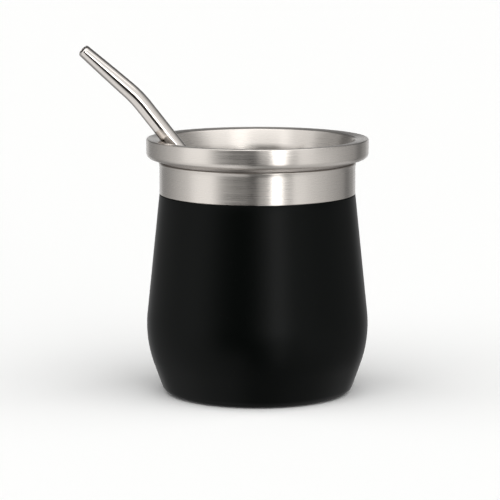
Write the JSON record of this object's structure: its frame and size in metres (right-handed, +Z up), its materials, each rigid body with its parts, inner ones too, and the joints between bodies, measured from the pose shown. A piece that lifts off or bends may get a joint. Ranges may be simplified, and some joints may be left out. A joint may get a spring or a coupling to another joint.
{
  "type": "mate cup with drinking straw",
  "caption": "Double-walled steel mate cup with a broad rim collar, a black coated body and a bent steel straw leaning in it.",
  "frame": {"origin": "middle of the flat underside, on the cup's axis", "axes": "+Z up along the cup's axis, the straw's mouthpiece leans out towards -X, and +Y points away from the picture's viewer"},
  "size_m": [0.1036, 0.0802, 0.1264],
  "materials": {
    "brushed_steel": "brushed round the axis",
    "polished_steel": "polished",
    "black_coating": "satin powder coat"
  },
  "bodies": {
    "root": {"cup_vessel": "brushed_steel", "cup_shell": "black_coating", "cup_base": "brushed_steel", "straw_tube": "polished_steel", "straw_strainer": "polished_steel"}
  },
  "joints": []
}
